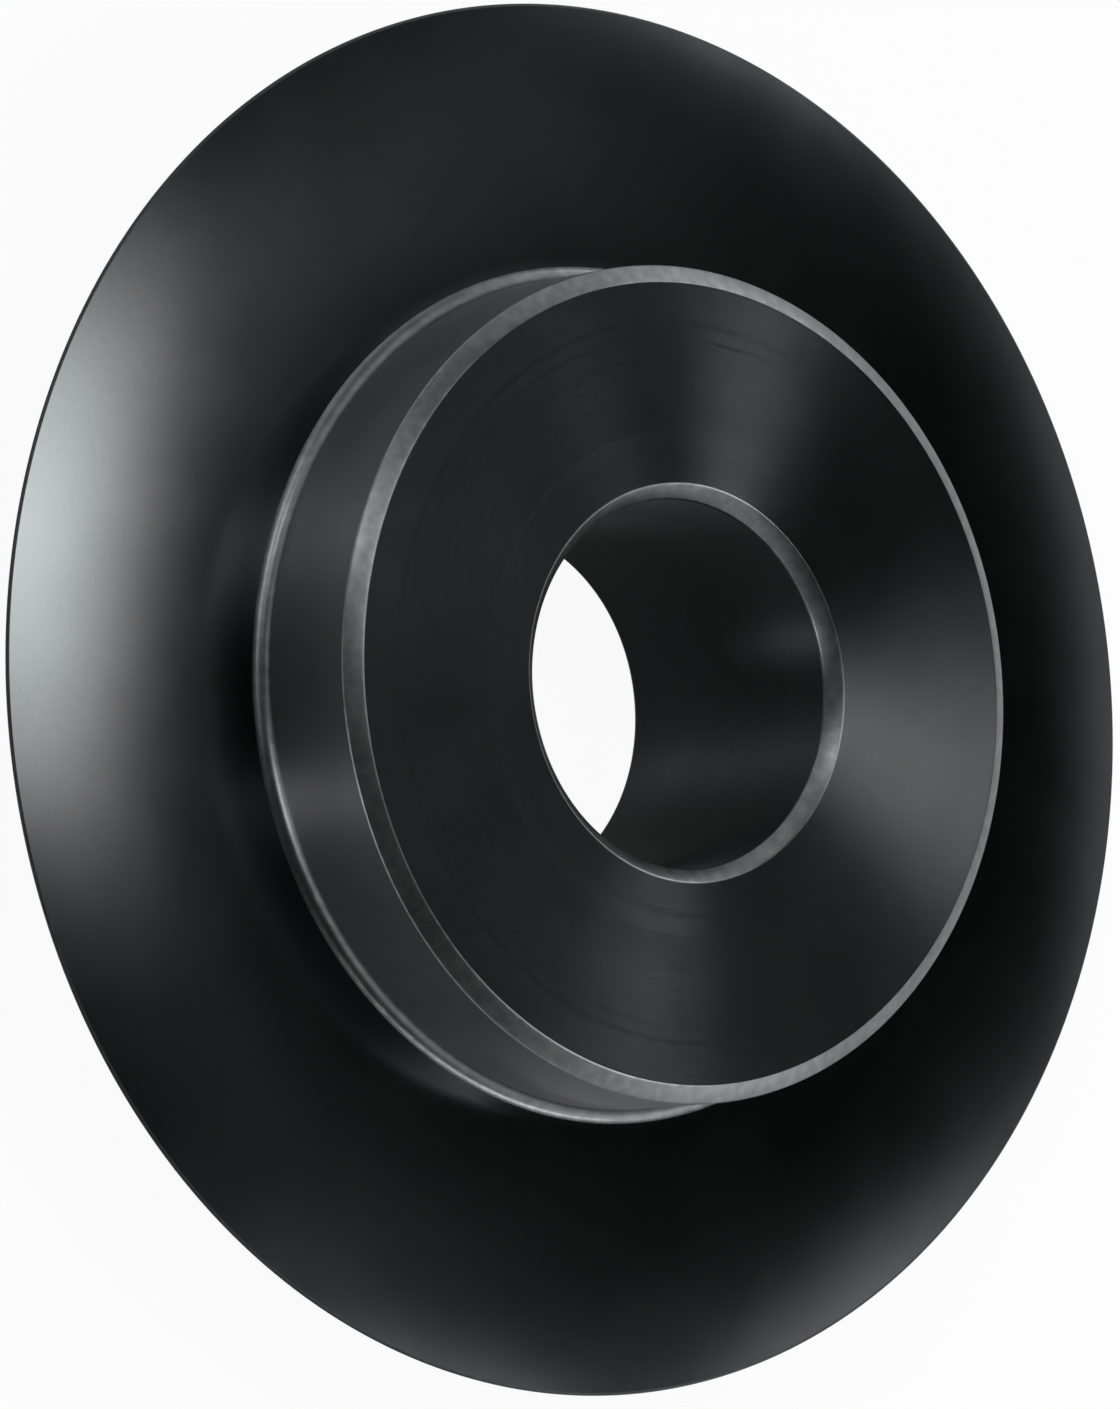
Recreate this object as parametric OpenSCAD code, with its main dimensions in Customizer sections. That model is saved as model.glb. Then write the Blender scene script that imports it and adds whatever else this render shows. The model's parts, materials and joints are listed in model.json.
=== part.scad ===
// Cutter wheel for a steel pipe cutter, turned from one piece of tool steel.
// The hub and the thin cutting blade are one solid, the same on both sides.
// The wheel lies on the lower end of its hub, its axis along +Z and the origin at that end's centre.

/* [Blade] */
// Diameter over the cutting edge
wheel_d = 40; // [36:0.5:60]
// Thickness of the blade where its flanks meet the hub's outside
root_t = 1.6; // [1.2:0.1:3.6]
// Width of the narrow land that honing leaves on the cutting edge
edge_land = 0.1; // [0.05:0.05:0.5]
// Radius of the shallow outward curve of each flank, from the hub to the cutting edge
flank_r = 50; // [30:5:400]
// Radius of the fillet where each flank runs into the hub
root_fillet = 0.4; // [0.2:0.1:1.2]

/* [Hub] */
// Outside diameter of the hub
hub_d = 23.8; // [18:0.2:32]
// Width of the hub from end face to end face
hub_w = 9.6; // [7:0.2:16]
// Chamfer on the rim of each end face, measured across the face
rim_chamfer = 0.5; // [0.2:0.1:1]
// Depth of that chamfer, measured along the axis
rim_chamfer_depth = 0.3; // [0.1:0.1:1]

/* [Bore] */
// Diameter of the bore that turns on the cutter's pin
bore_d = 10.5; // [6:0.1:14]
// Leg of the 45 degree chamfer at each mouth of the bore
bore_chamfer = 0.4; // [0.1:0.1:1]

/* [Hidden] */
$fn = 240;
blackened_steel = [0.11, 0.12, 0.125];

wheel_r = wheel_d / 2;
hub_r = hub_d / 2;
bore_r = bore_d / 2;
half_w = hub_w / 2;
// The middle of the hub's wall, where the sections of the blade and the fillets begin
wall_r = (bore_r + hub_r) / 2;

// Points of one flank's section: where it meets the hub's outside, and its outer corner at the edge
flank_root = [hub_r, root_t / 2];
flank_edge = [wheel_r, edge_land / 2];

// Centre of the circle of radius r through points a and b, on the axis side of the chord from a to b
function arc_centre(a, b, r) =
    let (chord = b - a, half = norm(chord) / 2, away = [chord.y, -chord.x] / norm(chord))
    (a + b) / 2 + away * sqrt(r * r - half * half);

// Arc centres are whole steps of a tenth of a micron, so that they keep their value when written out
arc_step = 0.0001;
function whole_steps(v) = floor(v / arc_step) * arc_step;

flank_centre = [for (v = arc_centre(flank_root, flank_edge, flank_r)) whole_steps(v)];

// The fillet's circle touches the hub's outside and the flank's arc, both from outside.
// It sits one step deep in the flank, so that the two arcs cross and leave no sliver between them.
fillet_x = hub_r + root_fillet;
touching_y = flank_centre.y + sqrt(pow(flank_r + root_fillet, 2) - pow(fillet_x - flank_centre.x, 2));
fillet_centre = [fillet_x, whole_steps(touching_y) - arc_step];
// The point where the fillet runs out into the flank
fillet_end = flank_centre + (fillet_centre - flank_centre) * flank_r / (flank_r + root_fillet);

// Half section of the hub, with a chamfer at each corner
module hub_section() {
    lower = [
        [bore_r, bore_chamfer - half_w],
        [bore_r + bore_chamfer, -half_w],
        [hub_r - rim_chamfer, -half_w],
        [hub_r, rim_chamfer_depth - half_w]
    ];
    upper = [for (i = [len(lower) - 1 : -1 : 0]) [lower[i].x, -lower[i].y]];
    polygon(concat(lower, upper));
}

// Half section of the blade: the lens between two flank arcs, cut off square at the cutting edge
module blade_section() {
    intersection() {
        translate([wall_r, -half_w]) square([wheel_r - wall_r, hub_w]);
        translate(flank_centre) circle(r = flank_r);
        mirror([0, 1]) translate(flank_centre) circle(r = flank_r);
    }
}

// Section of the upper root fillet: the corner between hub and flank, less the fillet's circle
module fillet_section() {
    difference() {
        translate([wall_r, 0]) square([fillet_end.x - wall_r, fillet_centre.y]);
        translate(fillet_centre) circle(r = root_fillet);
    }
}

module cutter_wheel() {
    color(blackened_steel)
        translate([0, 0, half_w])
            rotate_extrude() {
                hub_section();
                blade_section();
                fillet_section();
                mirror([0, 1]) fillet_section();
            }
}

cutter_wheel();
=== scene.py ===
import json
import math

import bpy
from mathutils import Matrix, Vector


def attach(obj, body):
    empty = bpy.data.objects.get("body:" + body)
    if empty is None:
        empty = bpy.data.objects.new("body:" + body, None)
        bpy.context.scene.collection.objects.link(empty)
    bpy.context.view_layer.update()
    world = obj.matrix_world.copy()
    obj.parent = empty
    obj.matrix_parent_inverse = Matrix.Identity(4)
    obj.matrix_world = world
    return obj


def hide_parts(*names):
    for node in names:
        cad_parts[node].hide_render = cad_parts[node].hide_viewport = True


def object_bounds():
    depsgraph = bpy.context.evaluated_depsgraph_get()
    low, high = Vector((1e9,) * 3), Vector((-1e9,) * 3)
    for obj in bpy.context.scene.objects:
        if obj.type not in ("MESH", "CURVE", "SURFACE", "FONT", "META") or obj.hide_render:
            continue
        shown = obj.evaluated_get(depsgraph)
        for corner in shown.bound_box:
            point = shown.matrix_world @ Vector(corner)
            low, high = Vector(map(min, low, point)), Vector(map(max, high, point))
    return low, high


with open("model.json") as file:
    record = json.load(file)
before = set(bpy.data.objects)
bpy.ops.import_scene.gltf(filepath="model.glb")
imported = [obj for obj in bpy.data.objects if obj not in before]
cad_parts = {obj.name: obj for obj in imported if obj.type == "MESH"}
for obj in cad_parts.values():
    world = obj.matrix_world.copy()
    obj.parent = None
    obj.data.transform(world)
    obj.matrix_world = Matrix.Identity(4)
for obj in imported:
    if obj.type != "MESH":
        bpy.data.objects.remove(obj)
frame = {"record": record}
cad_low, cad_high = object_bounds()

MM = 0.001
MICRON = 0.000001

# Sizes of the wheel, in metres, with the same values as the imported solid
bore_mount = next(m for m in frame["record"]["mounts"] if m["name"] == "bore")
WHEEL_R = cad_high.x
HUB_W = cad_high.z
MID_Z = HUB_W / 2
BORE_R = bore_mount["dims"]["r_mm"] * MM
HUB_R = 11.9 * MM
ROOT_T = 1.6 * MM
EDGE_LAND = 0.1 * MM
FLANK_R = 50.0 * MM
ROOT_FILLET = 0.4 * MM
RIM_CHAMFER = 0.5 * MM
RIM_CHAMFER_DEPTH = 0.3 * MM
BORE_CHAMFER = 0.4 * MM

# Fineness of the turned form
SIDES = 288
FLANK_STEPS = 24
FILLET_STEPS = 8
NOSE_STEPS = 4
# Width of a narrow ring beside the cutting edge, which keeps the flank's shading true up to it
EDGE_RING = 0.03 * MM
EDGE_BREAK = 0.05 * MM
BREAK_STEPS = 3
SHARP = math.radians(28)
MERGE = 0.1 * MICRON

# Where one finish ends and the next begins, by how far up or down a face looks: walls lie below the
# first level, flat faces above the second, and chamfers between them
WALL_LEVEL = 0.1
FACE_LEVEL = 0.98
# Share of the fillet's width that has the fillet's finish, and a hair's breadth outside the hub
FILLET_SHARE = 0.9
HAIR = 10 * MICRON

# Colours of the steel: blackened all over, a deeper black (on the cutting edge, and as painted shade in the
# bore), thinner blacking on the edges, and bare where it is worn
BLACKED = (0.11, 0.117, 0.12)
# A deeper black: on the cutting edge it is the steel's own, in the bore it is painted shade
DEEP_BLACK_AND_BORE_SHADE = (0.05, 0.053, 0.055)
THIN_BLACK = (0.15, 0.157, 0.16)
BARE_STEEL = (0.6, 0.6, 0.59, 1)

# Sizes of the steel's marks: clouds and grains in the blacking, coarse and fine turning marks, worn patches
CLOUD = 3.0 * MM
GRAIN = 0.12 * MM
COARSE_MARK = 0.16 * MM
FINE_MARK = 0.5 * MICRON
WORN_PATCH = 0.35 * MM
# A power that leaves most of the fine marks nearly flat and lets a few slope steeply
FINE_MARK_BIAS = 2.5
# How much clouds and grains change the roughness, and where in its noise the wear starts and is full
ROUGH_CLOUD = 0.04
ROUGH_GRAIN = 0.03
WEAR_START, WEAR_FULL = 0.4, 0.75
# Weight of the height in the run along the section, so that marks on chamfers don't repeat the face's
HEIGHT_WEIGHT = 2.0

# The photograph's frame in pixels, and the view worked out from the wheel's ellipses
PHOTO_W, PHOTO_H = 1120, 1409
LENS_PX = 9000
WHEEL_CENTRE_PX = (585, 696.3)
AXIS_TILT = math.radians(37.9)
AXIS_RISE = math.radians(7.5)
EYE_DISTANCE = 12.9 * WHEEL_R
SENSOR_MM = 36.0
NEAR, FAR = 0.01, 10


def only(obj):
    """Makes obj the only selected and active object."""
    bpy.ops.object.select_all(action="DESELECT")
    obj.select_set(True)
    bpy.context.view_layer.objects.active = obj


def arc(centre, radius, start, end, steps):
    """Points on an arc in the section's plane, from the start angle to the end angle in radians."""
    return [
        (
            centre[0] + radius * math.cos(start + (end - start) * i / steps),
            centre[1] + radius * math.sin(start + (end - start) * i / steps),
        )
        for i in range(steps + 1)
    ]


def flank_centre():
    """Centre of the flank's arc, which runs from the hub's outside to the edge's corner."""
    root, edge = Vector((HUB_R, ROOT_T / 2)), Vector((WHEEL_R, EDGE_LAND / 2))
    chord = edge - root
    half = chord.length / 2
    inward = Vector((chord.y, -chord.x)).normalized()
    return (root + edge) / 2 + inward * math.sqrt(FLANK_R**2 - half**2)


def upper_section():
    """The section's upper half as radius and height over the blade's middle, from the edge to the bore."""
    flank = flank_centre()
    touch = FLANK_R + ROOT_FILLET
    fillet_x = HUB_R + ROOT_FILLET
    fillet = Vector((fillet_x, flank.y + math.sqrt(touch**2 - (fillet_x - flank.x) ** 2)))
    down = flank - fillet
    run_out = math.atan2(down.y, down.x)
    inner = math.atan2(-down.y, -down.x)
    nose = EDGE_LAND / 2
    outer = math.acos((WHEEL_R - nose - flank.x) / FLANK_R)
    beside_edge = outer + EDGE_RING / FLANK_R
    half_w = HUB_W / 2
    return (
        arc((WHEEL_R - nose, 0), nose, 0, outer, NOSE_STEPS)[:-1]
        + arc(flank, FLANK_R, outer, beside_edge, 1)[:-1]
        + arc(flank, FLANK_R, beside_edge, inner, FLANK_STEPS)
        + arc(fillet, ROOT_FILLET, run_out, -math.pi, FILLET_STEPS)[1:]
        + [
            (HUB_R, half_w - RIM_CHAMFER_DEPTH),
            (HUB_R - RIM_CHAMFER, half_w),
            (BORE_R + BORE_CHAMFER, half_w),
            (BORE_R, half_w - BORE_CHAMFER),
        ]
    )


def turned_wheel():
    """The whole wheel, made ring by ring as on a lathe, with its sharp edges slightly broken."""
    upper = upper_section()
    lower = [(r, -z) for r, z in reversed(upper[1:])]
    section = [(r, z + MID_Z) for r, z in upper + lower]
    bpy.ops.object.select_all(action="DESELECT")
    radius, height = section[0]
    bpy.ops.mesh.primitive_circle_add(vertices=SIDES, radius=radius, location=(0, 0, height))
    wheel = bpy.context.object
    wheel.name = "turned_wheel"
    only(wheel)
    bpy.ops.object.transform_apply(location=True, rotation=True, scale=True)
    bpy.ops.object.mode_set(mode="EDIT")
    bpy.ops.mesh.select_all(action="SELECT")
    for next_radius, next_height in section[1:] + section[:1]:
        bpy.ops.mesh.extrude_region_move(
            TRANSFORM_OT_translate={"value": (0, 0, next_height - height)}
        )
        grow = next_radius / radius
        bpy.ops.transform.resize(value=(grow, grow, 1), center_override=(0, 0, next_height))
        radius, height = next_radius, next_height
    bpy.ops.mesh.select_all(action="SELECT")
    bpy.ops.mesh.remove_doubles(threshold=MERGE)
    bpy.ops.mesh.normals_make_consistent(inside=False)
    bpy.ops.mesh.select_mode(type="EDGE")
    bpy.ops.mesh.select_all(action="DESELECT")
    bpy.ops.mesh.edges_select_sharp(sharpness=SHARP)
    bpy.ops.mesh.bevel(offset=EDGE_BREAK, segments=BREAK_STEPS, affect="EDGES")
    bpy.ops.object.mode_set(mode="OBJECT")
    bpy.ops.object.shade_smooth()
    bpy.ops.object.modifier_add(type="WEIGHTED_NORMAL")
    bpy.ops.object.modifier_apply(modifier=wheel.modifiers[0].name)
    return wheel


class Nodes:
    """A small writer for one node tree."""

    def __init__(self, tree):
        self.tree = tree
        tree.nodes.clear()

    def add(self, kind, inputs=None, **settings):
        node = self.tree.nodes.new(kind)
        for name, value in settings.items():
            setattr(node, name, value)
        for key, value in (inputs or {}).items():
            self.put(node.inputs[key], value)
        return node

    def put(self, socket, value):
        if isinstance(value, bpy.types.NodeSocket):
            self.tree.links.new(value, socket)
        else:
            socket.default_value = value

    def math(self, operation, *values):
        return self.add("ShaderNodeMath", dict(enumerate(values)), operation=operation).outputs[0]

    def vector(self, operation, *values, scale=None):
        node = self.add("ShaderNodeVectorMath", dict(enumerate(values)), operation=operation)
        if scale is not None:
            self.put(node.inputs["Scale"], scale)
        scalar = operation in ("DOT_PRODUCT", "LENGTH")
        return node.outputs["Value" if scalar else "Vector"]

    def noise(self, point, size, detail=2.0):
        """Noise whose grains are about size wide."""
        node = self.add("ShaderNodeTexNoise", {"Vector": point, "Scale": 1 / size, "Detail": detail})
        return node.outputs[0]

    def rings(self, run, size, detail):
        """Noise in rings about size wide, along a run in metres."""
        inputs = {"W": self.math("DIVIDE", run, size), "Scale": 1.0, "Detail": detail}
        return self.add("ShaderNodeTexNoise", inputs, noise_dimensions="1D").outputs[0]

    def spread(self, value, low, high, start=0.3, end=0.7):
        """Spreads the middle of a noise's range from low to high."""
        inputs = {"Value": value, "From Min": start, "From Max": end, "To Min": low, "To Max": high}
        return self.add("ShaderNodeMapRange", inputs).outputs[0]

    def blend(self, share, first, second):
        """Mixes two colours."""
        node = self.add("ShaderNodeMix", data_type="RGBA")
        self.put(node.inputs[0], share)
        self.put(node.inputs[6], first)
        self.put(node.inputs[7], second)
        return node.outputs[2]


def wheel_places(nodes):
    """Places on the wheel: the point, its radius, the way round, and a run along the section."""
    point = nodes.add("ShaderNodeTexCoord").outputs["Object"]
    split = nodes.add("ShaderNodeSeparateXYZ", {0: point}).outputs
    flat = nodes.add("ShaderNodeCombineXYZ", {"X": split["X"], "Y": split["Y"]}).outputs[0]
    radius = nodes.vector("LENGTH", flat)
    around = nodes.vector("NORMALIZE", nodes.vector("CROSS_PRODUCT", (0, 0, 1), flat))
    run = nodes.math("ADD", radius, nodes.math("MULTIPLY", split["Z"], HEIGHT_WEIGHT))
    return point, radius, around, run


def steel(name, colour, roughness, anisotropy=0.0, lean=(0.0, 0.0), mottle=0.15, marks=0.0, wear=0.0):
    """Turned steel. The anisotropy spreads its shine along the section, as fine marks round the axis do.
    Lean is the least and the most that the fine marks' sides slope towards the axis, and marks is the
    depth of the coarse ones in metres. Mottle varies the blacking, and wear shows bare steel in patches."""
    material = bpy.data.materials.new(name)
    material.use_nodes = True
    nodes = Nodes(material.node_tree)
    point, radius, around, run = wheel_places(nodes)
    along = nodes.vector("CROSS_PRODUCT", around, nodes.add("ShaderNodeNewGeometry").outputs["Normal"])

    cloud = nodes.noise(point, CLOUD, detail=3)
    grain = nodes.noise(point, GRAIN, detail=1)
    ring = nodes.rings(run, COARSE_MARK, detail=2)

    tone = nodes.spread(cloud, 1 - mottle, 1 + mottle)
    tone = nodes.math("MULTIPLY", tone, nodes.spread(grain, 1 - mottle / 2, 1 + mottle / 2))
    base = nodes.vector("SCALE", (*colour,), scale=tone)
    if wear:
        patches = nodes.noise(point, WORN_PATCH, detail=4)
        bare = nodes.spread(patches, 0.0, wear, WEAR_START, WEAR_FULL)
        base = nodes.blend(bare, base, BARE_STEEL)
    rough = nodes.spread(cloud, 1 - ROUGH_CLOUD, 1 + ROUGH_CLOUD)
    rough = nodes.math("MULTIPLY", rough, nodes.spread(grain, 1 - ROUGH_GRAIN, 1 + ROUGH_GRAIN))
    height = nodes.math("MULTIPLY", nodes.math("SUBTRACT", ring, 0.5), marks)
    normal = nodes.add("ShaderNodeBump", {"Distance": 1.0, "Height": height}).outputs[0]
    if any(lean):
        fine = nodes.rings(radius, FINE_MARK, detail=1)
        share = nodes.math("POWER", nodes.spread(fine, 0.0, 1.0), FINE_MARK_BIAS)
        slope = nodes.math("MULTIPLY_ADD", share, lean[1] - lean[0], lean[0])
        outward = nodes.vector("CROSS_PRODUCT", around, (0, 0, 1))
        tilted = nodes.vector("SUBTRACT", normal, nodes.vector("SCALE", outward, scale=slope))
        normal = nodes.vector("NORMALIZE", tilted)
    shader = nodes.add(
        "ShaderNodeBsdfPrincipled",
        {
            "Base Color": base,
            "Metallic": 1.0,
            "Roughness": nodes.math("MULTIPLY", rough, roughness),
            "Anisotropic": anisotropy,
            "Tangent": along,
            "Normal": normal,
        },
    )
    nodes.add("ShaderNodeOutputMaterial", {"Surface": shader.outputs[0]})
    return material


# The finish of each part of the wheel, as settings of steel
FINISHES = {
    "polished_flank": {"colour": BLACKED, "roughness": 0.16, "mottle": 0.06, "marks": 0.02 * MICRON},
    "cutting_edge": {"colour": DEEP_BLACK_AND_BORE_SHADE, "roughness": 0.5, "mottle": 0.06},
    "turned_face": {
        "colour": BLACKED, "roughness": 0.2, "anisotropy": 0.6, "lean": (0.02, 0.29), "mottle": 0.06,
        "marks": 0.1 * MICRON,
    },
    "turned_wall": {
        "colour": BLACKED, "roughness": 0.42, "anisotropy": 0.92, "mottle": 0.06, "marks": 0.1 * MICRON,
    },
    # The bore's wall has the deeper black as painted shade, so the hole looks darker
    "bored_wall_painted_shade": {"colour": DEEP_BLACK_AND_BORE_SHADE, "roughness": 0.5, "anisotropy": 0.95, "marks": 0.1 * MICRON},
    "worn_chamfer": {"colour": THIN_BLACK, "roughness": 0.35, "mottle": 0.08, "wear": 0.15},
    "worn_fillet": {"colour": THIN_BLACK, "roughness": 0.35, "mottle": 0.08, "wear": 0.15},
}


def finish_of(face):
    """The finish of one face, by its place on the section."""
    radius = face.center.xy.length
    level = abs(face.normal.z)
    if radius > WHEEL_R - EDGE_LAND:
        return "cutting_edge"
    if radius > HUB_R + ROOT_FILLET * FILLET_SHARE:
        return "polished_flank"
    if radius > HUB_R + HAIR:
        return "worn_fillet"
    if WALL_LEVEL < level < FACE_LEVEL:
        return "worn_chamfer"
    if level >= FACE_LEVEL:
        return "turned_face"
    # The bore's wall takes the finish whose deeper black is painted shade
    return "bored_wall_painted_shade" if radius < (BORE_R + HUB_R) / 2 else "turned_wall"


def dress(wheel):
    """Gives each face of the wheel the finish of its place."""
    for name, settings in FINISHES.items():
        wheel.data.materials.append(steel(name, **settings))
    order = list(FINISHES)
    for face in wheel.data.polygons:
        face.material_index = order.index(finish_of(face))


def eye_basis():
    """The camera's right, up and back directions, for a wheel that lies flat and is seen from -Y."""
    back = Vector((0, -math.sin(AXIS_TILT), math.cos(AXIS_TILT)))
    away = Vector((0, math.cos(AXIS_TILT), math.sin(AXIS_TILT)))
    side = back.cross(away)
    right = math.cos(AXIS_RISE) * away - math.sin(AXIS_RISE) * side
    up = math.sin(AXIS_RISE) * away + math.cos(AXIS_RISE) * side
    return right, up, back


def make_camera():
    """The photograph's long lens, turned so that the lying wheel stands as it does in the photograph."""
    right, up, back = eye_basis()
    data = bpy.data.cameras.new("camera")
    data.sensor_width = SENSOR_MM
    data.lens = SENSOR_MM * LENS_PX / max(PHOTO_W, PHOTO_H)
    data.clip_start, data.clip_end = NEAR, FAR
    camera = bpy.data.objects.new("camera", data)
    bpy.context.collection.objects.link(camera)
    aside = (WHEEL_CENTRE_PX[0] - PHOTO_W / 2) / LENS_PX * EYE_DISTANCE
    above = (PHOTO_H / 2 - WHEEL_CENTRE_PX[1]) / LENS_PX * EYE_DISTANCE
    place = Vector((0, 0, MID_Z)) + back * EYE_DISTANCE - right * aside - up * above
    turn = Matrix((right, up, back)).transposed().to_4x4()
    camera.matrix_world = Matrix.Translation(place) @ turn
    bpy.context.scene.camera = camera


def seen_in_face(theta, off):
    """A direction, given by where the light that comes from it would be seen in the wheel's flat face.
    Theta runs clockwise in the picture, from 0 at the right, and off is the angle from what the face
    mirrors straight back to the camera, both in degrees."""
    back = eye_basis()[2]
    t, s = math.radians(theta), math.radians(off / 2)
    normal = Vector((math.sin(t) * math.sin(s), math.cos(t) * math.sin(s), math.cos(s)))
    return 2 * normal.dot(back) * normal - back


# The pale room's level, and the dark card over the wheel that its black surfaces mirror
ROOM_LEVEL = 1.0
CARD_LEVEL = 0.0
DARK_CARD = (180, 50, 66, 100)
CARD_FADE = 0.2
# Soft lights round the wheel: where each is seen in the face (theta, off), half its size across and
# along that line in degrees, and its strength
SOFT_LIGHTS = {
    "key": (201, 24, 12, 13, 8.5),
    "overhead": (206, 48, 11, 12, 12.0),
    "upper_left_sky": (252, 15, 15, 13, 0.22),
    "lower_left_sky": (125, 20, 12, 14, 0.1),
    "low_right": (74, 30, 12, 9, 2.0),
    "right_glow": (5, 25, 40, 7, 0.8),
    "lower": (113, 37, 13, 9, 20.0),
    "upper": (287, 36, 13, 8, 11.0),
    "low_side": (92, 62, 22, 14, 2.5),
    "high_side": (285, 62, 22, 14, 2.0),
    "left_lamp": (208, 78, 11, 17, 9.0),
    "side_lamp": (171, 112, 8, 13, 20.0),
}
# Share of the floor's look that is white background and takes no shadow, to the eye and in the steel
FLOOR_GLOW = 0.94
FLOOR_GLOW_IN_STEEL = 0.35
FLOOR_SIZE = 4
FLOOR_COLOUR = (0.85, 0.85, 0.85, 1)
WHITE = (1, 1, 1, 1)


def soft_light(nodes, look, theta, off, half_across, half_along, strength, fade=1.0):
    """One oval soft light in the surroundings, bright in its middle and fading to its rim."""
    aim = seen_in_face(theta, off)
    across = aim.cross(seen_in_face(theta, off + 1)).normalized()
    along = across.cross(aim)
    ahead = nodes.vector("DOT_PRODUCT", look, aim)
    aside = nodes.math("ARCTAN2", nodes.vector("DOT_PRODUCT", look, across), ahead)
    beyond = nodes.math("ARCTAN2", nodes.vector("DOT_PRODUCT", look, along), ahead)
    x = nodes.math("DIVIDE", aside, math.radians(half_across))
    y = nodes.math("DIVIDE", beyond, math.radians(half_along))
    both = nodes.math("ADD", nodes.math("MULTIPLY", x, x), nodes.math("MULTIPLY", y, y))
    share = nodes.math("SQRT", both)
    return nodes.add(
        "ShaderNodeMapRange",
        {"Value": share, "From Min": 1.0, "From Max": 1.0 - fade, "To Min": 0.0, "To Max": strength},
        interpolation_type="SMOOTHSTEP",
    ).outputs[0]


def light_surroundings():
    """A pale room with a dark card and soft lights in it."""
    world = bpy.data.worlds.new("studio")
    bpy.context.scene.world = world
    world.use_nodes = True
    nodes = Nodes(world.node_tree)
    look = nodes.add("ShaderNodeTexCoord").outputs["Generated"]
    card = soft_light(nodes, look, *DARK_CARD, ROOM_LEVEL - CARD_LEVEL, CARD_FADE)
    total = nodes.math("SUBTRACT", ROOM_LEVEL, card)
    for place_and_size in SOFT_LIGHTS.values():
        total = nodes.math("ADD", total, soft_light(nodes, look, *place_and_size))
    shine = nodes.add("ShaderNodeBackground", {"Strength": total})
    nodes.add("ShaderNodeOutputWorld", {"Surface": shine.outputs[0]})


def lay_floor():
    """A plain pale floor under the wheel, white to the eye and in the steel, which keeps a soft shadow."""
    bpy.ops.object.select_all(action="DESELECT")
    bpy.ops.mesh.primitive_plane_add(size=FLOOR_SIZE)
    floor = bpy.context.object
    floor.name = "floor"
    material = bpy.data.materials.new("pale_floor")
    material.use_nodes = True
    nodes = Nodes(material.node_tree)
    paint = nodes.add("ShaderNodeBsdfDiffuse", {"Color": FLOOR_COLOUR})
    glow = nodes.add("ShaderNodeEmission", {"Color": WHITE, "Strength": 1.0})
    ray = nodes.add("ShaderNodeLightPath").outputs
    mirrored = nodes.math("MAXIMUM", ray["Is Glossy Ray"], ray["Is Transmission Ray"])
    share = nodes.math("MULTIPLY", ray["Is Camera Ray"], FLOOR_GLOW)
    share = nodes.math("ADD", share, nodes.math("MULTIPLY", mirrored, FLOOR_GLOW_IN_STEEL))
    mixed = nodes.add("ShaderNodeMixShader", {0: share, 1: paint.outputs[0], 2: glow.outputs[0]})
    nodes.add("ShaderNodeOutputMaterial", {"Surface": mixed.outputs[0]})
    floor.data.materials.append(material)


make_camera()
wheel = turned_wheel()
dress(wheel)
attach(wheel, "root")
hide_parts("cutter_wheel")
light_surroundings()
lay_floor()

bpy.context.scene.view_settings.view_transform = "Standard"
